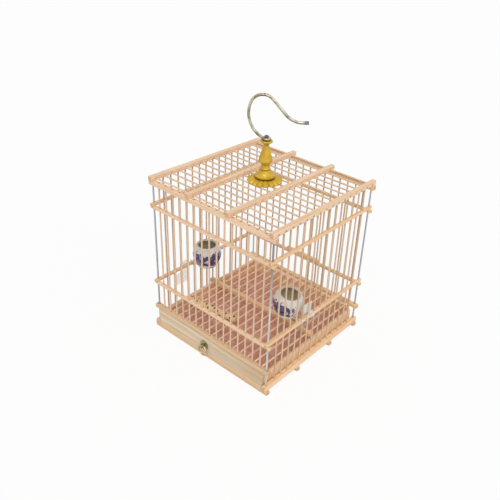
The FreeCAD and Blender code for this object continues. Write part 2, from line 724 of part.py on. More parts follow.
class Profile:
    """Half section of a turned piece in the XZ plane, drawn from point to point."""

    def __init__(self, radius, height):
        self.start = (radius, 0, height)
        self.point = self.start
        self.edges = []

    def line(self, radius, height):
        self.edges.append(line_edge(self.point, (radius, 0, height)))
        self.point = (radius, 0, height)

    def arc(self, radius, height, sag):
        """Arc that stands off its chord by sag, away from the axis when sag is positive."""
        run_r = radius - self.point[0]
        run_z = height - self.point[2]
        chord = math.hypot(run_r, run_z)
        middle_r = self.point[0] + run_r / 2 + sag * run_z / chord
        middle_z = self.point[2] + run_z / 2 - sag * run_r / chord
        self.through(middle_r, middle_z, radius, height)

    def through(self, middle_r, middle_z, radius, height):
        self.edges.append(arc_edge(self.point, (middle_r, 0, middle_z), (radius, 0, height)))
        self.point = (radius, 0, height)

    def turned(self):
        if self.point != self.start:
            self.edges.append(line_edge(self.point, self.start))
        face = Part.Face(Part.Wire(self.edges))
        return face.revolve(ORIGIN, UP, 360)


tip_radius = number(N.petal_tip_diameter) / 2
hub_radius = number(N.petal_hub_diameter) / 2
root_radius = tip_radius - number(N.petal_length)
droop = number(N.petal_droop)
half_width = number(N.petal_width) / 2
bend_radius = tip_radius - half_width
tip = (tip_radius, 0, 0)
leaf_edges = [
    line_edge((root_radius, half_width, 0), (root_radius, -half_width, 0)),
    line_edge((root_radius, -half_width, 0), (bend_radius, -half_width, 0)),
    arc_edge((bend_radius, -half_width, 0), tip, (bend_radius, half_width, 0)),
    line_edge((bend_radius, half_width, 0), (root_radius, half_width, 0)),
]
leaf = Part.Face(Part.Wire(leaf_edges)).extrude(UP * number(N.petal_thickness))
leaf.rotate(FreeCAD.Vector(*tip), FreeCAD.Vector(0, 1, 0), droop)
petal_count = int(number(N.petal_count))
petals = Part.makeCylinder(hub_radius, number(N.petal_hub_height))
for index in range(petal_count):
    petal = leaf.copy()
    petal.rotate(ORIGIN, UP, index * 360 / petal_count)
    petals = petals.fuse(petal)
petals = petals.cut(Part.makeCylinder(number(bore_radius), number(N.petal_hub_height)))
place(formed("ornament_petals", petals.removeSplitter()), "0", "0", seat_z)

bore = number(bore_radius)
bell = number(N.bell_diameter) / 2
collar = number(N.collar_diameter) / 2
waist = number(N.waist_diameter) / 2
bulb = number(N.bulb_diameter) / 2
neck = number(N.neck_diameter) / 2
cap = number(N.cap_diameter) / 2
collar_root = (collar + waist) / 2
cap_edge = 0.85 * cap
level = number(N.bell_lip)
turned_body = Profile(bore, 0)
turned_body.line(bell, 0)
turned_body.line(bell, level)
level = number(N.bell_height)
shoulder = number(N.bell_top_diameter) / 2
turned_body.arc(shoulder, 0.85 * level, -0.15 * (bell - shoulder))
turned_body.arc(collar_root, level, 0.2 * (shoulder - collar_root))
level += number(N.collar_height)
turned_body.arc(collar_root, level, collar - collar_root)
level += number(N.waist_height)
turned_body.arc(waist, level, -0.5 * (collar_root - waist))
bulb_low = level
level += number(N.bulb_rise)
turned_body.through(waist + 0.72 * (bulb - waist), bulb_low + 0.4 * number(N.bulb_rise), bulb, level)
level = bulb_low + number(N.bulb_height)
turned_body.arc(neck, level, 0.03 * (bulb - neck))
level += number(N.cap_rise)
turned_body.arc(cap_edge, level, -0.2 * (cap_edge - neck))
level += number(N.cap_height)
turned_body.arc(cap_edge, level, cap - cap_edge)
turned_body.line(bore, level)
place(formed("ornament_body", turned_body.turned()), "0", "0", body_z)

cap_top = f"({body_z} + {N.bell_height} + {N.collar_height} + {N.waist_height} + {N.bulb_height}"
cap_top += f" + {N.cap_rise} + {N.cap_height})"
eye_level = f"({cap_top} + {N.hook_eye_gap} + {N.hook_wire} / 2)"
head_z = f"({eye_level} + {N.hook_wire} / 2 + {N.hook_head_gap})"
washer_z = f"({N.roof_stick_z} - {N.stick_radius} - {N.roof_seat_gap} - {N.roof_washer_thickness})"
nut_z = f"({washer_z} - {N.roof_nut_height})"
screw_low = f"({nut_z} - {N.screw_tail})"
shank = cylinder("screw_shank", N.screw_diameter, f"{head_z} - {screw_low}", "0", "0", screw_low)
head = cylinder("screw_head", N.screw_head_diameter, f"{N.screw_head_height} / 2", "0", "0", head_z)
dome = doc.addObject("Part::Cone", "screw_dome")
bind(dome, "Radius1", f"{N.screw_head_diameter} / 2")
bind(dome, "Radius2", f"{N.screw_head_diameter} / 4")
bind(dome, "Height", f"{N.screw_head_height} / 2")
place(dome, "0", "0", f"{head_z} + {N.screw_head_height} / 2")
fused("ornament_screw", [shank, head, dome])


def holed(label, outer, hole):
    ring_shape = doc.addObject("Part::Cut", label)
    ring_shape.Base = outer
    ring_shape.Tool = hole
    return keep(ring_shape, label)


screw_hole = f"{N.screw_diameter} + 2 * {N.glue_gap}"
washer_disc = cylinder("washer_disc", N.roof_washer_diameter, N.roof_washer_thickness, "0", "0", washer_z)
washer_hole = cylinder("washer_hole", screw_hole, N.roof_washer_thickness, "0", "0", washer_z)
holed("roof_washer", washer_disc, washer_hole)
nut_block = doc.addObject("Part::Prism", "nut_block")
nut_block.Polygon = 6
bind(nut_block, "Circumradius", f"{N.roof_nut_width} / 2 / cos(30)")
bind(nut_block, "Height", N.roof_nut_height)
place(nut_block, "0", "0", nut_z)
nut_hole = cylinder("nut_hole", screw_hole, N.roof_nut_height, "0", "0", nut_z)
holed("roof_nut", nut_block, nut_hole)

# Hook: an eye round the screw and one wire of straight runs and tangent arcs in an upright plane
hook_radius = number(N.hook_wire) / 2
eye_radius = number(N.screw_diameter) / 2 + number(N.hook_eye_gap) + hook_radius


class Wire:
    """Bent wire drawn from its start by straight runs and arcs in the XZ plane."""

    def __init__(self, start, heading):
        self.start = start
        self.point = start
        self.heading = math.radians(heading)
        self.edges = []

    def direction(self):
        return FreeCAD.Vector(math.cos(self.heading), 0, math.sin(self.heading))

    def run(self, length):
        end = self.point + self.direction() * length
        self.edges.append(Part.makeLine(self.point, end))
        self.point = end

    def bend(self, radius, turn):
        """Arc to the right for a positive turn in degrees, to the left for a negative one."""
        sign = 1 if turn > 0 else -1
        ahead = self.direction()
        centre = self.point + FreeCAD.Vector(ahead.z, 0, -ahead.x) * radius * sign
        points = []
        for part in (0.5, 1.0):
            arm = self.point - centre
            spin = FreeCAD.Rotation(FreeCAD.Vector(0, 1, 0), turn * part)
            points.append(centre + spin.multVec(arm))
        self.edges.append(Part.Arc(self.point, points[0], points[1]).toShape())
        self.point = points[1]
        self.heading -= math.radians(turn)

    def tube(self, radius, start_direction):
        ring = Part.Wire([Part.makeCircle(radius, self.start, start_direction)])
        return Part.Wire(self.edges).makePipeShell([ring], True, False)


hook_path = Wire(FreeCAD.Vector(-eye_radius, 0, 0), number(N.hook_start_angle))
hook_start = hook_path.direction()
hook_path.bend(number(N.hook_back_radius), number(N.hook_back_turn))
hook_path.bend(number(N.hook_crown_radius), number(N.hook_crown_turn))
hook_path.run(number(N.hook_run))
hook_path.bend(number(N.hook_toe_radius), -number(N.hook_toe_turn))
hook_path.run(number(N.hook_toe_length))
hook_shape = Part.makeTorus(eye_radius, hook_radius).fuse(hook_path.tube(hook_radius, hook_start))
tip_radius = number(N.hook_tip_diameter) / 2
tip_length = number(N.hook_tip_length)
tip_direction = hook_path.direction()
tip_start = hook_path.point + tip_direction * (number(N.hook_tip_cover) - tip_length)
tip_bore = hook_radius + number(N.glue_gap)
tip_depth = tip_length - number(N.hook_tip_cover) + number(N.glue_gap)
tip_shape = Part.makeCylinder(tip_radius, tip_length, tip_start, tip_direction)
tip_shape = tip_shape.cut(Part.makeCylinder(tip_bore, tip_depth, tip_start, tip_direction))
for label, shape in (("hook", hook_shape), ("hook_tip", tip_shape)):
    hook_item = formed(label, shape)
    hook_item.Placement.Rotation = FreeCAD.Rotation(UP, number(N.hook_heading))
    place(hook_item, "0", "0", eye_level)

# Porcelain cups that sit in wire brackets hooked over the side middle rails
cup_height = number(N.cup_height)
cup_radius = number(N.cup_diameter) / 2
rim = number(N.cup_rim_diameter) / 2
mouth = number(N.cup_mouth_diameter) / 2
foot = number(N.cup_foot_diameter) / 2
foot_height = number(N.cup_foot_height)
cup_wall = number(N.cup_wall)
cup_middle = cup_height / 2
lip_low = cup_height - 0.4 * (rim - mouth)
cup_floor = foot_height + cup_wall
cup_profile = Profile(0, foot_height / 2)
cup_profile.line(foot - cup_wall, foot_height / 2)
cup_profile.line(foot - cup_wall, 0)
cup_profile.line(foot, 0)
cup_profile.line(foot, foot_height)
cup_profile.through(cup_radius, cup_middle, rim, lip_low)
belly = cup_profile.edges[-1].Curve
cup_profile.through((rim + mouth) / 2, cup_height, mouth, lip_low)
cup_profile.through(cup_radius - cup_wall, cup_middle, foot - cup_wall, cup_floor)
cup_profile.line(0, cup_floor)
cup_shape = cup_profile.turned()

side_top = f"({N.side_middle_z} + {N.rail_slim})"
bracket_z = f"({side_top} + {N.bracket_gap} + {N.bracket_wire} / 2)"
wire_radius = number(N.bracket_wire) / 2
stand_off = belly.Radius + number(N.cup_play) + wire_radius
ring_radius = belly.Center.x + math.sqrt(stand_off**2 - (number(N.cup_sit) - belly.Center.z) ** 2)
arm_y = number(N.bracket_arms) / 2
arm_start = math.sqrt(ring_radius**2 - arm_y**2)
arm_drop = number(f"{N.rail_slim} + 2 * {N.bracket_gap} + {N.bracket_wire}")


def wire_bracket(reach, rise, lean):
    """Wire ring, leaning to the wall, with two arms that step to the rail below by rise and hook round it."""
    arm_end = number(f"{reach} + {N.rail_slim} / 2 + {N.bracket_gap} + {N.bracket_wire} / 2")
    arm_bend = number(f"{reach} - {N.rail_slim} / 2 - {N.bracket_wire}")
    arm_tail = arm_end - number(N.bracket_tail)
    arm_x = arm_start * math.cos(math.radians(lean))
    arm_z = -arm_start * math.sin(math.radians(lean))
    shape = Part.makeTorus(ring_radius, wire_radius)
    shape.rotate(ORIGIN, FreeCAD.Vector(0, 1, 0), lean)
    steps = [(arm_x, arm_z), (arm_bend, arm_z), (arm_bend, -rise)]
    steps += [(arm_end, -rise), (arm_end, -rise - arm_drop), (arm_tail, -rise - arm_drop)]
    for side_y in (-arm_y, arm_y):
        corners = [FreeCAD.Vector(x, side_y, z) for x, z in steps]
        for first, last in zip(corners, corners[1:]):
            run = last - first
            shape = shape.fuse(Part.makeCylinder(wire_radius, run.Length, first, run))
        for corner in corners[1:]:
            shape = shape.fuse(Part.makeSphere(wire_radius, corner))
    return shape


cup_y = f"-{N.cup_stick} * {N.side_pitch}"
cups = [
    ("left", "-", 180, N.cup_reach, N.cup_left_rise, "0"),
    ("right", "", 0, N.cup_right_reach, "0", N.cup_right_lean),
]
for side, sign, turn, reach, rise, lean in cups:
    cup_x = f"{sign}({N.rod_x} - {reach})"
    ring_z = f"({bracket_z} + {rise})"
    cup_item = formed(f"cup_{side}", cup_shape)
    cup_item.Placement.Rotation = FreeCAD.Rotation(FreeCAD.Vector(0, 1, 0), number(lean))
    foot_x = f"{cup_x} - {N.cup_sit} * sin({lean})"
    place(cup_item, foot_x, cup_y, f"{ring_z} - {N.cup_sit} * cos({lean})")
    bracket_item = formed(f"cup_bracket_{side}", wire_bracket(reach, number(rise), number(lean)))
    bracket_item.Placement.Rotation = FreeCAD.Rotation(UP, turn)
    place(bracket_item, cup_x, cup_y, ring_z)

# Plastic feed clips hooked over the side middle rails
clip_face = f"({N.rod_x} - {N.rail_slim} / 2 - {N.clip_gap})"
clip_inside = f"({clip_face} - {N.clip_thickness})"
lip_face = f"({N.rod_x} + {N.rail_slim} / 2 + {N.clip_gap})"
lip_outside = f"({lip_face} + {N.clip_thickness})"
bridge_z = f"({side_top} + {N.clip_gap})"
bridge_top = f"({bridge_z} + {N.clip_thickness})"
flag_below = (
    f"{N.side_middle_z} - {N.clip_flag_start} - {N.clip_flag_height}",
    f"{N.side_middle_z} - {N.clip_flag_start}",
)
flag_above = (
    f"{side_top} + {N.clip_flag_start}",
    f"{side_top} + {N.clip_flag_start} + {N.clip_small_height}",
)
strip_below = (f"{N.side_middle_z} - {N.clip_long_end}", f"{side_top} + {N.clip_short_end}")
strip_above = (f"{N.side_middle_z} - {N.clip_flag_start}", f"{side_top} + {N.clip_small_end}")


def across(sign, inside, outside):
    """Low and high X of a piece at the left or right wall."""
    return (inside, outside) if sign == "" else (f"-{outside}", f"-{inside}")


def feed_clip(side, sign, stick, strip, flag, flag_width):
    middle = f"(-{stick} * {N.side_pitch})"
    low_y = f"({middle} - {N.clip_width} / 2)"
    high_y = f"({middle} + {N.clip_width} / 2)"
    flag_y = f"({low_y} - {flag_width})"
    lip_end = f"{bridge_top} - {N.clip_lip}"
    pieces = [
        ("strip", across(sign, clip_inside, clip_face), (low_y, high_y), strip),
        ("flag", across(sign, clip_inside, clip_face), (flag_y, high_y), flag),
        ("bridge", across(sign, clip_inside, lip_outside), (low_y, high_y), (bridge_z, bridge_top)),
        ("lip", across(sign, lip_face, lip_outside), (low_y, high_y), (lip_end, bridge_top)),
    ]
    blocks = []
    for name, x, y, z in pieces:
        blocks.append(block(f"{side}_clip_{name}", (x[0], y[0], z[0]), (x[1], y[1], z[1])))
    fused(f"feed_clip_{side}", blocks)


feed_clip("left", "-", N.clip_left_stick, strip_below, flag_below, N.clip_flag_width)
feed_clip("right", "", N.clip_right_stick, strip_above, flag_above, N.clip_small_width)

# Perch: knobbly stick that lies loose across the floor sticks, with its knobs on the sides and on top
perch_radius = number(N.perch_diameter) / 2
perch_length = number(N.perch_length)
perch_shape = Part.makeCylinder(perch_radius, perch_length, ORIGIN, FreeCAD.Vector(1, 0, 0))
knob_count = int(number(N.perch_knob_count))
knob_radius = 0.8 * perch_radius
knob_offset = perch_radius + number(N.perch_knob_rise) - knob_radius
for index in range(knob_count):
    angle = math.radians(20 + index * 83 % 140)
    along = perch_length * (index + 1) / (knob_count + 1)
    knob_at = FreeCAD.Vector(along, knob_offset * math.cos(angle), knob_offset * math.sin(angle))
    perch_shape = perch_shape.fuse(Part.makeSphere(knob_radius, knob_at))
perch_item = formed("perch", perch_shape)
perch_item.Placement.Rotation = FreeCAD.Rotation(UP, number(N.perch_heading))
perch_z = f"{N.floor_stick_z} + {N.stick_radius} + {N.glue_gap} + {N.perch_diameter} / 2"
place(perch_item, f"-{N.perch_start_x}", f"-{N.perch_start_y}", perch_z)

# Check every object, then write one file for each node
doc.recompute()
for item in doc.Objects:
    if "Invalid" in item.State or "Error" in item.State:
        raise RuntimeError(f"{item.Label}: {item.State}")
os.makedirs("parts", exist_ok=True)
for item in nodes:
    shape = item.Shape
    if shape.isNull() or not shape.isValid() or not shape.Solids:
        raise RuntimeError(f"{item.Label}: no valid solid")
    shape.exportStep(f"parts/{item.Label}.step")
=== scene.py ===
import math
import random

import bpy
from mathutils import Matrix, Vector


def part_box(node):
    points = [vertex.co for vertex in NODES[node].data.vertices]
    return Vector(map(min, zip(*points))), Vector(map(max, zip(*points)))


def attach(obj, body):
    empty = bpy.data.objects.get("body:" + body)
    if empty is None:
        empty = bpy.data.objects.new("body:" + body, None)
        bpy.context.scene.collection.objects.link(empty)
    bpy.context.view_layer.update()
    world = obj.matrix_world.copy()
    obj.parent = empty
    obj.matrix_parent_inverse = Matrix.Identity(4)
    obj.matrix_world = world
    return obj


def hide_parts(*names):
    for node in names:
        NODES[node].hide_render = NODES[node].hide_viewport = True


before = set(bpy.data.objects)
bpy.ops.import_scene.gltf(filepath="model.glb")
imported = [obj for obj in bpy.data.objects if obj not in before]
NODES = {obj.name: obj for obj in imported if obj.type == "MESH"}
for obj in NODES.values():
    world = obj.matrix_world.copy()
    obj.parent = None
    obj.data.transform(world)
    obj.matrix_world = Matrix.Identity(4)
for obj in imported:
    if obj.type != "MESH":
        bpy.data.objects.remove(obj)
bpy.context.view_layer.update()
MM = 0.001


# Node graphs


def srgb(red, green, blue):
    """Linear colour of a display colour given from 0 to 255."""
    parts = []
    for value in (red, green, blue):
        part = value / 255
        parts.append(part / 12.92 if part <= 0.04045 else ((part + 0.055) / 1.055) ** 2.4)
    return (*parts, 1.0)


class Signal:
    """A number in a node graph, with the usual arithmetic."""

    def __init__(self, graph, socket):
        self.graph = graph
        self.socket = socket

    def calculate(self, operation, *others):
        node = self.graph.nodes.new("ShaderNodeMath")
        node.operation = operation
        for place, value in enumerate((self, *others)):
            self.graph.feed(node.inputs[place], value)
        return Signal(self.graph, node.outputs[0])

    def __add__(self, other):
        return self.calculate("ADD", other)

    def __sub__(self, other):
        return self.calculate("SUBTRACT", other)

    def __mul__(self, other):
        return self.calculate("MULTIPLY", other)

    def __truediv__(self, other):
        return self.calculate("DIVIDE", other)

    def largest(self, other):
        return self.calculate("MAXIMUM", other)

    def spread(self, low, high, first=0.0, last=1.0):
        """The number from low to high, spread from first to last and held there."""
        node = self.graph.nodes.new("ShaderNodeMapRange")
        node.interpolation_type = "SMOOTHSTEP"
        for place, value in enumerate((self, low, high, first, last)):
            self.graph.feed(node.inputs[place], value)
        return Signal(self.graph, node.outputs[0])


class Graph:
    """A Principled material, built node by node."""

    def __init__(self, name, **values):
        self.material = bpy.data.materials.new(name)
        self.material.use_nodes = True
        self.nodes = self.material.node_tree.nodes
        self.links = self.material.node_tree.links
        self.nodes.clear()
        output = self.nodes.new("ShaderNodeOutputMaterial")
        self.shader = self.nodes.new("ShaderNodeBsdfPrincipled")
        self.links.new(self.shader.outputs[0], output.inputs[0])
        for socket, value in values.items():
            self.set(socket.replace("_", " ").title(), value)

    def feed(self, socket, value):
        if isinstance(value, Signal):
            self.links.new(value.socket, socket)
        elif isinstance(value, bpy.types.NodeSocket):
            self.links.new(value, socket)
        else:
            socket.default_value = value

    def set(self, socket, value):
        names = {"Ior": "IOR", "Specular Level": "Specular IOR Level"}
        self.feed(self.shader.inputs[names.get(socket, socket)], value)

    def source(self, kind, output):
        return self.nodes.new(kind).outputs[output]

    def position(self):
        """The three object coordinates."""
        node = self.nodes.new("ShaderNodeSeparateXYZ")
        self.feed(node.inputs[0], self.source("ShaderNodeTexCoord", "Object"))
        return [Signal(self, socket) for socket in node.outputs]

    def facing(self):
        """The three parts of the surface normal in object space."""
        node = self.nodes.new("ShaderNodeSeparateXYZ")
        self.feed(node.inputs[0], self.source("ShaderNodeTexCoord", "Normal"))
        return [Signal(self, socket) for socket in node.outputs]

    def noise(self, scale, detail=3.0, roughness=0.55, shift=0.0, distortion=0.0):
        """Noise over the object coordinates, with scale in waves per metre along each axis."""
        mapping = self.nodes.new("ShaderNodeMapping")
        self.feed(mapping.inputs["Vector"], self.source("ShaderNodeTexCoord", "Object"))
        mapping.inputs["Scale"].default_value = scale if isinstance(scale, tuple) else (scale,) * 3
        mapping.inputs["Location"].default_value = (shift, shift, shift)
        node = self.nodes.new("ShaderNodeTexNoise")
        self.feed(node.inputs["Vector"], mapping.outputs[0])
        node.inputs["Scale"].default_value = 1.0
        node.inputs["Detail"].default_value = detail
        node.inputs["Roughness"].default_value = roughness
        node.inputs["Distortion"].default_value = distortion
        return Signal(self, node.outputs[0])

    def island(self):
        return Signal(self, self.source("ShaderNodeNewGeometry", "Random Per Island"))

    def crevice(self, reach):
        """One in the open, falling to zero in narrow places."""
        node = self.nodes.new("ShaderNodeAmbientOcclusion")
        node.samples = 8
        node.inputs["Distance"].default_value = reach
        return Signal(self, node.outputs["AO"])

    def mix(self, factor, first, second):
        node = self.nodes.new("ShaderNodeMix")
        node.data_type = "RGBA"
        self.feed(node.inputs[0], factor)
        self.feed(node.inputs[6], first)
        self.feed(node.inputs[7], second)
        return node.outputs[2]

    def bump(self, height, distance, strength=1.0):
        node = self.nodes.new("ShaderNodeBump")
        node.inputs["Strength"].default_value = strength
        node.inputs["Distance"].default_value = distance
        self.feed(node.inputs["Height"], height)
        self.set("Normal", node.outputs[0])


# Materials


def along(axis, length_waves, cross_waves):
    scale = [cross_waves] * 3
    scale[axis] = length_waves
    return tuple(scale)


def hole_shade_rings(graph, run, start, pitch, aside, level, size):
    """Painted shade, one at the rim of each hole of a row along one axis, at one level of another axis."""
    place = graph.position()
    step = ((place[run] - start) / pitch + 0.5).calculate("FRACT")
    off = (step - 0.5) * pitch
    away = place[aside] - level
    reach = (off * off + away * away).calculate("SQRT")
    return reach.spread(0.6 * size, size, 1.0, 0.0)


def bamboo(name, axis, pale, deep, warm, end, fine=1.0, holes=()):
    """Split bamboo with its fibres along one axis, darker on the cut ends, and with painted shade round
    drilled holes.
    """
    graph = Graph(name)
    fibres = graph.noise(along(axis, 10.0, 420.0 * fine), detail=5.0, roughness=0.62)
    colour = graph.mix(fibres.spread(0.3, 0.66), deep, pale)
    patches = graph.noise(along(axis, 16.0, 40.0), detail=2.0, shift=3.1)
    colour = graph.mix(patches.spread(0.45, 0.8, 0.0, 0.55), colour, warm)
    dashes = graph.noise(along(axis, 75.0, 1900.0 * fine), detail=2.0, shift=7.7)
    colour = graph.mix(dashes.spread(0.62, 0.72, 0.0, 0.45), colour, deep)
    tone = graph.island()
    colour = graph.mix(tone.spread(0.0, 1.0, 0.0, 0.4), colour, warm)
    cut = graph.facing()[axis].calculate("ABSOLUTE")
    specks = graph.noise(2400.0, detail=1.0).spread(0.5, 0.64, 0.55, 0.95)
    colour = graph.mix(cut.spread(0.8, 0.95) * specks, colour, end)
    # Painted shade: a brown ring at the rim of each stick hole.
    for row in holes:
        colour = graph.mix(hole_shade_rings(graph, *row) * 0.6, colour, srgb(128, 88, 48))
    graph.set("Base Color", colour)
    graph.set("Roughness", fibres.spread(0.25, 0.75, 0.62, 0.42))
    graph.bump(fibres * 0.6 + dashes * 0.4, 0.00022, 0.8)
    return graph.material


def planed_board(name, axis, pale, deep, grey):
    """Soft pale wood with wide growth bands, a weathered greyish bloom and painted shade that browns its
    right end.
    """
    graph = Graph(name)
    bands = graph.noise(along(axis, 7.0, 150.0), detail=4.0, distortion=0.6)
    colour = graph.mix(bands.spread(0.32, 0.68), deep, pale)
    bloom = graph.noise(along(axis, 22.0, 70.0), detail=3.0, shift=5.2)
    colour = graph.mix(bloom.spread(0.42, 0.72, 0.0, 0.75), colour, grey)
    # Painted shade: the colour turns deeper towards the right, from just left of the middle of the tray.
    colour = graph.mix(graph.position()[0].spread(-0.05, 0.1, 0.0, 0.6), colour, deep)
    fibres = graph.noise(along(axis, 60.0, 1500.0), detail=2.0, shift=1.4)
    colour = graph.mix(fibres.spread(0.6, 0.74, 0.0, 0.35), colour, deep)
    graph.set("Base Color", colour)
    graph.set("Roughness", bands.spread(0.3, 0.7, 0.66, 0.5))
    graph.bump(bands * 0.5 + fibres * 0.5, 0.00025, 0.8)
    return graph.material


def layered_board(name, pale, deep):
    """Plywood: grain along X on the faces and thin layers on the edges."""
    graph = Graph(name)
    grain = graph.noise(along(0, 9.0, 260.0), detail=4.0)
    face = graph.mix(grain.spread(0.3, 0.7), deep, pale)
    height = graph.position()[2]
    layers = (height * (2 * math.pi / 0.0016)).calculate("SINE")
    edge = graph.mix(layers.spread(-0.3, 0.3), deep, pale)
    upright = graph.facing()[2].calculate("ABSOLUTE")
    graph.set("Base Color", graph.mix(upright.spread(0.6, 0.8), edge, face))
    graph.set("Roughness", grain.spread(0.3, 0.7, 0.7, 0.52))
    graph.bump(grain + layers * 0.2, 0.0002, 0.7)
    return graph.material


def stained_sheet(name, base, light, dark):
    """Stained brown sheet: fine mottling with scuffs and seed dust."""
    graph = Graph(name)
    mottle = graph.noise(260.0, detail=6.0, roughness=0.7)
    colour = graph.mix(mottle.spread(0.32, 0.68), dark, base)
    scuffs = graph.noise((45.0, 120.0, 60.0), detail=4.0, shift=2.3)
    colour = graph.mix(scuffs.spread(0.44, 0.7, 0.0, 0.7), colour, light)
    graph.set("Base Color", colour)
    graph.set("Roughness", scuffs.spread(0.4, 0.7, 0.72, 0.88))
    graph.bump(mottle, 0.0002, 0.7)
    return graph.material


def metal(name, clean, tarnished, roughness, waves=60.0, cover=0.6, pits=900.0, painted_dim_reflection=None):
    """Plated metal with tarnish in patches.

    With a dim colour, two corner rods get it as painted reflection, and the front right rod gets painted
    shade to its top.
    """
    graph = Graph(name, metallic=1.0)
    patches = graph.noise(waves, detail=5.0, roughness=0.65)
    colour = graph.mix(patches.spread(0.42, 0.68, 0.0, cover), clean, tarnished)
    if painted_dim_reflection:
        x, y, z = graph.position()
        # Painted reflection: the front left and back right rods take the dim colour. The front right rod
        # gets painted shade near its top.
        bright_reflection_corners = (x * y).spread(-0.0001, 0.0001, 1.0, 0.0)
        colour = graph.mix(bright_reflection_corners, painted_dim_reflection, colour)
        painted_top_shade = bright_reflection_corners * x.spread(-0.01, 0.01) * z.spread(0.12, 0.21, 0.0, 0.85)
        colour = graph.mix(painted_top_shade, colour, tarnished)
    graph.set("Base Color", colour)
    marks = graph.noise(pits, detail=2.0, shift=4.0)
    graph.set("Roughness", patches.spread(0.3, 0.7, roughness, roughness + 0.2))
    graph.bump(marks, 0.00008, 0.5)
    return graph.material


def gilded(name, light, base, dark):
    """Golden yellow moulding, with painted shade that darkens it in narrow places."""
    graph = Graph(name, metallic=0.25, specular_level=0.5)
    patches = graph.noise(120.0, detail=4.0, roughness=0.6)
    colour = graph.mix(patches.spread(0.3, 0.7), base, light)
    # Painted shade: ambient occlusion darkens creases and narrow gaps towards the dark colour.
    painted_crevice_shade = graph.crevice(0.005).spread(0.3, 0.9, 1.0, 0.0)
    colour = graph.mix(painted_crevice_shade * 0.8, colour, dark)
    graph.set("Base Color", colour)
    graph.set("Roughness", patches.spread(0.3, 0.7, 0.34, 0.5))
    graph.bump(graph.noise(700.0, detail=3.0), 0.0001, 0.5)
    return graph.material


def matt(name, base, worn, roughness):
    graph = Graph(name)
    patches = graph.noise(500.0, detail=4.0)
    graph.set("Base Color", graph.mix(patches.spread(0.4, 0.75), base, worn))
    graph.set("Roughness", patches.spread(0.3, 0.7, roughness, roughness + 0.15))
    graph.bump(patches, 0.0001, 0.6)
    return graph.material


def hazy_plastic(name, cover, dim, light):
    """Thin milky plastic, which covers what is behind it by a share."""
    graph = Graph(name, alpha=cover)
    haze = graph.noise(90.0, detail=4.0)
    graph.set("Base Color", graph.mix(haze.spread(0.3, 0.7), dim, light))
    graph.set("Roughness", haze.spread(0.3, 0.7, 0.22, 0.42))
    graph.bump(graph.noise(300.0, detail=2.0), 0.0001, 0.4)
    return graph.material


def twig(name, base, pale, knot):
    """Debarked twig with dark knots, which the mesh marks with its knob attribute."""
    graph = Graph(name)
    fibres = graph.noise(along(0, 30.0, 420.0), detail=5.0, roughness=0.65)
    colour = graph.mix(fibres.spread(0.3, 0.7), base, pale)
    knob = graph.nodes.new("ShaderNodeAttribute")
    knob.attribute_name = "knob"
    mark = Signal(graph, knob.outputs["Fac"]) + (graph.noise(700.0, detail=2.0) - 0.5) * 0.5
    colour = graph.mix(mark.spread(0.42, 0.7), colour, knot)
    graph.set("Base Color", colour)
    graph.set("Roughness", fibres.spread(0.3, 0.7, 0.75, 0.55))
    graph.bump(fibres, 0.0004, 0.8)
    return graph.material


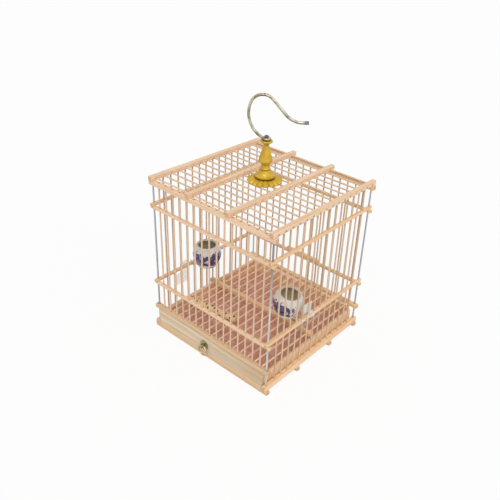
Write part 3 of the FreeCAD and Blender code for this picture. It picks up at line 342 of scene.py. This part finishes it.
def painted_porcelain(name, ring, lean, turn, bare):
    """White glaze with indigo flowers and leaves round the belly, but for a bare side.

    The ring is the middle of the wire that carries the cup, and the lean its tilt to the right in degrees.
    The turn places the flowers round the cup. The bare side has a middle and a half width in degrees.
    """
    graph = Graph(name, coat_weight=0.6, coat_roughness=0.06)
    cos_lean = math.cos(math.radians(lean))
    sin_lean = math.sin(math.radians(lean))
    x, depth, z = (part - at * MM for part, at in zip(graph.position(), ring))
    across = x * cos_lean - z * sin_lean
    height = x * sin_lean + z * cos_lean
    repeats = 4
    belly = 20.5 * MM
    flower_height = 10.6 * MM
    waver = 1.6 * MM
    cell = 2 * math.pi * belly / repeats
    angle = depth.calculate("ARCTAN2", across)
    brush = graph.noise(260.0, detail=2.0) - 0.5
    stray = graph.noise(260.0, detail=2.0, shift=9.0) - 0.5
    step = (angle * (repeats / (2 * math.pi)) + turn).calculate("FRACT")
    u = (step - 0.5) * cell + brush * waver
    v = height - flower_height + stray * waver

    def ink(inside, soft=0.3 * MM):
        """Full ink where the number is below zero."""
        return inside.spread(-soft, soft, 1.0, 0.0)

    def disc(at_u, at_v, radius):
        reach = ((u - at_u) * (u - at_u) + (v - at_v) * (v - at_v)).calculate("SQRT")
        return reach - radius

    def leaf(at_u, at_v, tilt, length, width):
        cos = math.cos(math.radians(tilt))
        sin = math.sin(math.radians(tilt))
        p = ((u - at_u) * cos + (v - at_v) * sin) / length
        q = ((v - at_v) * cos - (u - at_u) * sin) / width
        return ((p * p + q * q).calculate("SQRT") - 1.0) * width

    reach = (u * u + v * v).calculate("SQRT")
    bearing = v.calculate("ARCTAN2", u)
    lobes = (bearing * 3.5).calculate("COSINE").calculate("ABSOLUTE")
    edge = reach - (lobes * (2.4 * MM) + 9.4 * MM)
    wash = graph.noise(330.0, detail=3.0, shift=2.0).spread(0.32, 0.54, 0.55, 1.0)
    flower = ink(edge) * wash
    outline = ink(edge.calculate("ABSOLUTE") - 0.55 * MM)
    veins = ink((bearing * 3.5).calculate("SINE").calculate("ABSOLUTE") * reach - 0.7 * MM)
    heart = ink(reach - 2.0 * MM)
    shape = flower.largest(outline).largest(veins * ink(edge) * 0.9)
    shape = shape * (heart * -0.85 + 1.0)
    shape = shape.largest(ink((reach - 2.0 * MM).calculate("ABSOLUTE") - 0.4 * MM))
    leaves = [
        (-13.8, 4.6, 55, 5.4, 2.8),
        (-13.2, -7.0, -35, 5.8, 3.1),
        (13.6, 5.4, -50, 5.2, 2.6),
        (13.4, -6.2, 40, 5.8, 3.0),
        (0.2, -12.2, 4, 7.0, 1.5),
    ]
    for at_u, at_v, tilt, length, width in leaves:
        shape = shape.largest(ink(leaf(at_u * MM, at_v * MM, tilt, length * MM, width * MM)) * 0.92)
    for at_u, at_v, radius in ((-9.0, 10.6, 1.4), (9.4, 10.2, 1.3), (15.8, 0.0, 1.9), (1.6, 12.6, 0.9)):
        shape = shape.largest(ink(disc(at_u * MM, at_v * MM, radius * MM)))
    stem = (u * (2 * math.pi / cell)).calculate("SINE") * (4.2 * MM)
    shape = shape.largest(ink((v - stem).calculate("ABSOLUTE") - 0.4 * MM) * 0.75)
    face = graph.facing()
    outside = (across * (face[0] * cos_lean - face[2] * sin_lean) + depth * face[1]).spread(0.0, 0.002)
    middle, half = (math.radians(value) for value in bare)
    painted = (angle - middle).calculate("ABSOLUTE").spread(half - 0.2, half + 0.2)
    shape = shape * outside * painted
    glaze = graph.noise(150.0, detail=3.0, shift=6.0)
    white = graph.mix(glaze.spread(0.35, 0.7), srgb(216, 208, 200), srgb(228, 222, 216))
    # The inner faces of the cup take a darker beige than the white glaze outside.
    glaze_inside_and_out = graph.mix(outside, srgb(198, 184, 160), white)
    blue = graph.mix(shape.spread(0.3, 1.0), srgb(140, 142, 196), srgb(54, 44, 94))
    graph.set("Base Color", graph.mix(shape.spread(0.05, 0.5), glaze_inside_and_out, blue))
    graph.set("Roughness", glaze.spread(0.3, 0.7, 0.16, 0.26))
    graph.bump(graph.noise(180.0, detail=2.0), 0.0001, 0.3)
    return graph.material


def dress(material, slot_name, *names):
    for name in names:
        NODES[name].data.materials.clear()
        NODES[name].data.materials.append(material)


RAIL = {
    "pale": srgb(246, 217, 184),
    "deep": srgb(228, 188, 148),
    "warm": srgb(238, 198, 160),
    "end": srgb(198, 152, 108),
}
GOLDEN_RAIL = {
    "pale": srgb(244, 212, 170),
    "deep": srgb(226, 181, 134),
    "warm": srgb(238, 194, 146),
    "end": srgb(198, 150, 102),
}
BROWN_RAIL = {
    "pale": srgb(228, 198, 162),
    "deep": srgb(204, 166, 126),
    "warm": srgb(218, 182, 140),
    "end": srgb(186, 142, 100),
}
PINK_STICK = {
    "pale": srgb(252, 218, 192),
    "deep": srgb(232, 190, 160),
    "warm": srgb(246, 204, 176),
    "end": srgb(184, 140, 104),
}
FRONT_STICK = {
    "pale": srgb(234, 207, 180),
    "deep": srgb(206, 170, 142),
    "warm": srgb(224, 188, 158),
    "end": srgb(184, 140, 104),
}
ROOF_STICK = {
    "pale": srgb(238, 214, 186),
    "deep": srgb(204, 174, 144),
    "warm": srgb(226, 194, 162),
    "end": srgb(184, 146, 108),
}
WALL_STICK = {
    "pale": srgb(228, 202, 172),
    "deep": srgb(182, 150, 118),
    "warm": srgb(206, 172, 134),
    "end": srgb(176, 138, 102),
}
# Rows of stick holes, each ringed with painted shade on its rail.
ROOF_HOLES = [(1, -93.0 * MM, 12.8 * MM, 2, 235.6 * MM, 2.1 * MM)]
FRONT_HOLES = [(0, -91.0 * MM, 13.0 * MM, 1, -97.0 * MM, 2.0 * MM)]
RAILS = [
    ("front", 0, RAIL, FRONT_HOLES, ["front_top_rail", "front_upper_rail", "front_middle_rail"]),
    ("front_low", 0, BROWN_RAIL, FRONT_HOLES, ["front_lower_rail"]),
    (
        "base", 0, BROWN_RAIL, [],
        ["front_base_rail", "back_base_rail", "base_bar_front", "base_bar_back"],
    ),
    (
        "cross", 0, GOLDEN_RAIL, [],
        [
            "back_top_rail", "back_upper_rail", "back_middle_rail", "back_lower_rail",
            "floor_bar", "door_bar",
        ],
    ),
    (
        "roof", 1, RAIL, ROOF_HOLES,
        ["roof_bar_left", "roof_bar_inner_left", "roof_bar_inner_right", "roof_bar_right"],
    ),
    (
        "side", 1, GOLDEN_RAIL, [],
        [
            "left_upper_rail", "left_middle_rail", "left_base_rail",
            "right_upper_rail", "right_middle_rail", "right_base_rail",
        ],
    ),
]
WALL_STICKS = [
    "left_sticks", "right_sticks", "door_sticks",
    "back_sticks_left", "back_sticks_right", "back_sticks_short",
]
STICKS = [
    ("roof", 0, ROOF_STICK, ["roof_sticks"]),
    ("floor", 1, PINK_STICK, ["floor_sticks"]),
    ("front", 2, FRONT_STICK, ["front_sticks"]),
    ("wall", 2, WALL_STICK, WALL_STICKS),
]
for place, axis, colours, holes, names in RAILS:
    dress(bamboo(f"bamboo_rail_{place}", axis, **colours, holes=holes), "bamboo_rail", *names)
for place, axis, colours, names in STICKS:
    dress(bamboo(f"bamboo_stick_{place}", axis, **colours, fine=1.6), "bamboo_stick", *names)
FRONT_BOARD = (srgb(234, 216, 188), srgb(202, 172, 136), srgb(214, 204, 190))
SIDE_BOARD = (srgb(250, 222, 184), srgb(232, 194, 150), srgb(242, 214, 178))
dress(planed_board("tray_wood_front", 0, *FRONT_BOARD), "tray_board", "tray_front")
dress(planed_board("tray_wood_back", 0, *SIDE_BOARD), "tray_board", "tray_back")
dress(planed_board("tray_wood_side", 1, *SIDE_BOARD), "tray_board", "tray_left", "tray_right")
dress(
    layered_board("plywood_edges", srgb(238, 208, 170), srgb(208, 166, 120)),
    "plywood",
    "tray_bottom",
)
dress(
    stained_sheet("stained_liner", srgb(216, 166, 144), srgb(234, 196, 174), srgb(190, 135, 111)),
    "liner",
    "tray_liner",
)
dress(
    metal("dark_brass", srgb(178, 166, 126), srgb(78, 72, 46), 0.4, waves=320.0, cover=0.95),
    "aged_brass",
    "pull_plate",
)
dress(
    metal("dull_brass", srgb(206, 190, 152), srgb(132, 116, 78), 0.34, waves=200.0, cover=0.8),
    "aged_brass",
    "pull_ring",
)
# The last colour of each gilded material is the painted shade in its creases.
gold = gilded("golden_yellow", srgb(214, 178, 56), srgb(194, 154, 32), srgb(130, 96, 14))
petal_gold = gilded("golden_yellow_deep", srgb(212, 174, 42), srgb(190, 150, 20), srgb(112, 78, 2))
dress(gold, "gold_ornament", "ornament_body")
dress(petal_gold, "gold_ornament", "ornament_petals")
dress(
    matt("blackened_steel", srgb(98, 86, 76), srgb(134, 122, 108), 0.42),
    "dark_screw",
    "ornament_screw",
)
dress(
    metal("pale_brass", srgb(204, 198, 174), srgb(122, 114, 92), 0.22, waves=90.0, cover=0.95),
    "hook_metal",
    "hook",
)
dress(matt("dark_rubber", srgb(112, 107, 108), srgb(142, 137, 138), 0.5), "dark_cap", "hook_tip")
# The dim colour is the painted reflection of two corner rods, and the tarnished colour also paints shade
# at the top of the front right rod.
dress(
    metal(
        "drawn_steel",
        srgb(220, 212, 208),
        srgb(128, 128, 124),
        0.28,
        waves=30.0,
        cover=0.3,
        painted_dim_reflection=srgb(184, 185, 188),
    ),
    "rod_steel",
    "corner_rods",
)
dress(
    metal("zinc_plate", srgb(232, 224, 212), srgb(200, 190, 176), 0.45, waves=200.0),
    "zinc_steel",
    "roof_washer", "roof_nut", "cup_bracket_left", "cup_bracket_right",
)
CUPS = [
    ("cup_left", (-76.0, -27.7, 92.35), 0.0, 0.61, (60.0, 30.0)),
    ("cup_right", (73.6, -27.7, 83.65), 11.0, 0.48, (20.0, 46.0)),
]
for name, ring, lean, turn, bare in CUPS:
    dress(painted_porcelain(f"porcelain_{name}", ring, lean, turn, bare), "porcelain", name)
CREAM = (srgb(252, 238, 210), srgb(254, 246, 226))
WHITE = (srgb(228, 228, 222), srgb(242, 242, 238))
dress(hazy_plastic("cream_plastic", 0.3, *CREAM), "clear_plastic", "feed_clip_left")
dress(hazy_plastic("white_plastic", 0.75, *WHITE), "clear_plastic", "feed_clip_right")


# Pieces that Blender shapes more finely than the solids


def piece(name, points, faces, node, body, material):
    mesh = bpy.data.meshes.new(name)
    mesh.from_pydata(points, [], faces)
    mesh.polygons.foreach_set("use_smooth", [True] * len(mesh.polygons))
    mesh.materials.append(material)
    mesh.update()
    obj = bpy.data.objects.new(name, mesh)
    bpy.context.scene.collection.objects.link(obj)
    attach(obj, body)
    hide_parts(node)
    return obj


class Shell:
    """Points and faces of a piece made of closed shells."""

    def __init__(self):
        self.points = []
        self.faces = []

    def leaf(self, upper, lower):
        """Closed leaf between two grids of points, each a list of rows."""
        rows = len(upper)
        columns = len(upper[0])
        top = len(self.points)
        self.points.extend(point for row in upper for point in row)
        under = len(self.points)
        self.points.extend(point for row in lower for point in row)
        for i in range(rows - 1):
            for j in range(columns - 1):
                a = i * columns + j
                ring = (a, a + columns, a + columns + 1, a + 1)
                self.faces.append(tuple(top + k for k in ring))
                self.faces.append(tuple(under + k for k in reversed(ring)))
        border = [(0, j) for j in range(columns)]
        border += [(i, columns - 1) for i in range(1, rows)]
        border += [(rows - 1, j) for j in range(columns - 2, -1, -1)]
        border += [(i, 0) for i in range(rows - 2, 0, -1)]
        for (i, j), (k, m) in zip(border, border[1:] + border[:1]):
            a = i * columns + j
            b = k * columns + m
            self.faces.append((top + a, top + b, under + b, under + a))

    def ring(self, profile, count):
        """Closed turned ring from a closed profile of radius and height."""
        first = len(self.points)
        size = len(profile)
        for i in range(count):
            angle = 2 * math.pi * i / count
            self.points.extend((r * math.cos(angle), r * math.sin(angle), h) for r, h in profile)
        for i in range(count):
            for j in range(size):
                a = first + i * size + j
                b = first + i * size + (j + 1) % size
                c = first + (i + 1) % count * size + (j + 1) % size
                d = first + (i + 1) % count * size + j
                self.faces.append((a, d, c, b))


def carved_petals():
    """Ring of drooping petals on a hub, each arched across so that creases stay between them."""
    low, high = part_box("ornament_petals")
    axis = (low + high) / 2
    shell = Shell()
    height = (high.z - low.z) / MM
    bore = 2.15
    hub = 10.6
    shell.ring([(bore, 0.0), (hub, 0.0), (hub, height), (bore, height)], 64)
    count = 16
    rows = 18
    columns = 14
    root = 9.6
    tip = 23.2
    narrow = 1.9
    wide = 4.45
    for index in range(count):
        angle = 2 * math.pi * index / count
        upper = []
        lower = []
        for i in range(rows + 1):
            s = i / rows
            up_row = []
            low_row = []
            for j in range(columns + 1):
                t = 2 * j / columns - 1
                tip_back = wide * (1 - math.sqrt(1 - (0.96 * t) ** 2))
                r = root + (tip - root - tip_back) * s
                half = narrow + (wide - narrow) * math.sin(math.pi / 2 * min(1.0, s * 1.3))
                h = 5.0 - 3.3 * s ** 1.3 + 1.0 * math.sin(math.pi * s)
                h -= 2.6 * (0.35 + 0.65 * s) * abs(t) ** 2.4
                h = max(0.4, h)
                x = r * math.cos(angle) - half * t * math.sin(angle)
                y = r * math.sin(angle) + half * t * math.cos(angle)
                up_row.append((x, y, h))
                low_row.append((x, y, max(0.0, h - 1.3)))
            upper.append(up_row)
            lower.append(low_row)
        shell.leaf(upper, lower)
    points = [(axis.x + x * MM, axis.y + y * MM, low.z + h * MM) for x, y, h in shell.points]
    return piece(
        "ornament_petals_carved",
        points,
        shell.faces,
        "ornament_petals",
        "frame",
        petal_gold,
    )


def knobbly_perch():
    """Twig with a dark knob every few millimetres, which lies on the floor sticks."""
    start = Vector((-82.0, -62.2, 41.35)) * MM
    length = 87.0 * MM
    heading = math.radians(7.8)
    ahead = Vector((math.cos(heading), math.sin(heading), 0.0))
    aside = Vector((-math.sin(heading), math.cos(heading), 0.0))
    base = 4.7 * MM
    under = 4.6 * MM
    highest = 1.1 * MM
    rounding = 1.6 * MM
    chance = random.Random(11)
    knobs = []
    run = 2 * MM
    turn = 0.4
    while run < length - 2 * MM:
        rise = chance.uniform(0.7, 1.2) * MM
        size = chance.uniform(2.2, 3.0) * MM
        knobs.append((run, turn % (2 * math.pi), rise, size))
        run += chance.uniform(1.5, 2.5) * MM
        turn += 2.4 + chance.uniform(-0.4, 0.4)
    rings = 200
    count = 40
    points = []
    marks = []
    for i in range(rings + 1):
        run = length * i / rings
        left = min(run, length - run) / rounding
        close = 0.86 + 0.14 * math.sqrt(1 - (1 - left) ** 2) if left < 1 else 1.0
        swell = 1 + 0.04 * math.sin(run / MM * 0.31) + 0.03 * math.sin(run / MM * 0.173 + 1)
        for j in range(count):
            angle = 2 * math.pi * j / count
            rise = 0.0
            mark = 0.0
            for at, bearing, height, size in knobs:
                if abs(run - at) < 4 * size:
                    swing = (angle - bearing + math.pi) % (2 * math.pi) - math.pi
                    away = ((run - at) ** 2 + (base * swing) ** 2) / size ** 2
                    rise += height * math.exp(-away)
                    mark = max(mark, math.exp(-away * 1.5))
            r = (base * swell + min(rise, highest)) * close
            up = Vector((0.0, 0.0, max(r * math.sin(angle), -under)))
            points.append(tuple(start + ahead * run + aside * (r * math.cos(angle)) + up))
            marks.append(mark)
    faces = []
    for i in range(rings):
        for j in range(count):
            k = (j + 1) % count
            faces.append((i * count + j, i * count + k, (i + 1) * count + k, (i + 1) * count + j))
    faces.append(tuple(reversed(range(count))))
    faces.append(tuple(rings * count + j for j in range(count)))
    wood = twig("pale_twig", srgb(222, 184, 138), srgb(238, 206, 160), srgb(100, 66, 26))
    obj = piece("perch_knobbly", points, faces, "perch", "perch", wood)
    layer = obj.data.attributes.new("knob", "FLOAT", "POINT")
    layer.data.foreach_set("value", marks)
    return obj


carved_petals()
knobbly_perch()


# Floor, light and camera


def lit_background(nodes, links):
    """One for the rays that should see plain white."""
    path = nodes.new("ShaderNodeLightPath")
    first = nodes.new("ShaderNodeMath")
    first.operation = "MAXIMUM"
    links.new(path.outputs["Is Camera Ray"], first.inputs[0])
    links.new(path.outputs["Is Glossy Ray"], first.inputs[1])
    both = nodes.new("ShaderNodeMath")
    both.operation = "MAXIMUM"
    links.new(first.outputs[0], both.inputs[0])
    links.new(path.outputs["Is Transmission Ray"], both.inputs[1])
    return both.outputs[0]


def make_floor():
    size = 20.0
    mesh = bpy.data.meshes.new("floor")
    corners = [(-size, -size, 0.0), (size, -size, 0.0), (size, size, 0.0), (-size, size, 0.0)]
    mesh.from_pydata(corners, [], [(0, 1, 2, 3)])
    floor = bpy.data.objects.new("floor", mesh)
    floor.location.z = -0.0002
    bpy.context.scene.collection.objects.link(floor)
    material = bpy.data.materials.new("plain_floor")
    material.use_nodes = True
    nodes = material.node_tree.nodes
    links = material.node_tree.links
    nodes.clear()
    output = nodes.new("ShaderNodeOutputMaterial")
    paper = nodes.new("ShaderNodeBsdfDiffuse")
    paper.inputs["Color"].default_value = (0.96, 0.96, 0.96, 1.0)
    glow = nodes.new("ShaderNodeEmission")
    glow.inputs["Strength"].default_value = 1.0
    share = nodes.new("ShaderNodeMath")
    share.operation = "MULTIPLY"
    share.inputs[1].default_value = 0.86
    links.new(lit_background(nodes, links), share.inputs[0])
    blend = nodes.new("ShaderNodeMixShader")
    links.new(share.outputs[0], blend.inputs[0])
    links.new(paper.outputs[0], blend.inputs[1])
    links.new(glow.outputs[0], blend.inputs[2])
    links.new(blend.outputs[0], output.inputs[0])
    mesh.materials.append(material)


def make_world():
    world = bpy.data.worlds.new("studio")
    bpy.context.scene.world = world
    world.use_nodes = True
    nodes = world.node_tree.nodes
    links = world.node_tree.links
    nodes.clear()
    output = nodes.new("ShaderNodeOutputWorld")
    soft = nodes.new("ShaderNodeBackground")
    soft.inputs["Strength"].default_value = 0.5
    white = nodes.new("ShaderNodeBackground")
    for background in (soft, white):
        background.inputs["Color"].default_value = (1.0, 1.0, 1.0, 1.0)
    blend = nodes.new("ShaderNodeMixShader")
    links.new(lit_background(nodes, links), blend.inputs[0])
    links.new(soft.outputs[0], blend.inputs[1])
    links.new(white.outputs[0], blend.inputs[2])
    links.new(blend.outputs[0], output.inputs[0])


def make_sun(name, azimuth, elevation, strength, width):
    """A distant lamp, placed by the same azimuth and elevation as a camera."""
    lamp = bpy.data.lights.new(name, "SUN")
    lamp.energy = strength
    lamp.angle = math.radians(width)
    sun = bpy.data.objects.new(name, lamp)
    a = math.radians(azimuth)
    e = math.radians(elevation)
    back = Vector((math.sin(a) * math.cos(e), -math.cos(a) * math.cos(e), math.sin(e)))
    sun.rotation_euler = back.to_track_quat("Z", "Y").to_euler()
    bpy.context.scene.collection.objects.link(sun)


def make_camera():
    """Camera fitted to the photograph, taken as 500 by 500 pixels."""
    pixels = 500.0
    focal = 602.4
    a = math.radians(36.94)
    e = math.radians(30.25)
    roll = math.radians(4.36)
    back = Vector((math.sin(a) * math.cos(e), -math.cos(a) * math.cos(e), math.sin(e)))
    level = Vector((math.cos(a), math.sin(a), 0.0))
    upright = back.cross(level)
    right = level * math.cos(roll) + upright * math.sin(roll)
    up = upright * math.cos(roll) - level * math.sin(roll)
    target = Vector((0.0, 3.0, 120.0))
    distance = 844.1
    aside = 43.46
    above = 17.75
    place = (target + back * distance + right * aside + up * above) * MM
    lens = bpy.data.cameras.new("photo_camera")
    lens.sensor_width = 36.0
    lens.lens = focal / pixels * lens.sensor_width
    middle_x = 292.08
    middle_y = 243.87
    lens.shift_x = (pixels / 2 - middle_x) / pixels
    lens.shift_y = (middle_y - pixels / 2) / pixels
    lens.clip_start = 0.01
    lens.clip_end = 100.0
    camera = bpy.data.objects.new("photo_camera", lens)
    turn = Matrix((right, up, back)).transposed()
    camera.matrix_world = Matrix.Translation(place) @ turn.to_4x4()
    bpy.context.scene.collection.objects.link(camera)
    bpy.context.scene.camera = camera


make_floor()
make_world()
make_sun("key", 35.0, 52.0, 1.35, 16.0)
make_sun("fill", 88.0, 34.0, 0.42, 40.0)
make_camera()
bpy.context.scene.view_settings.view_transform = "Standard"
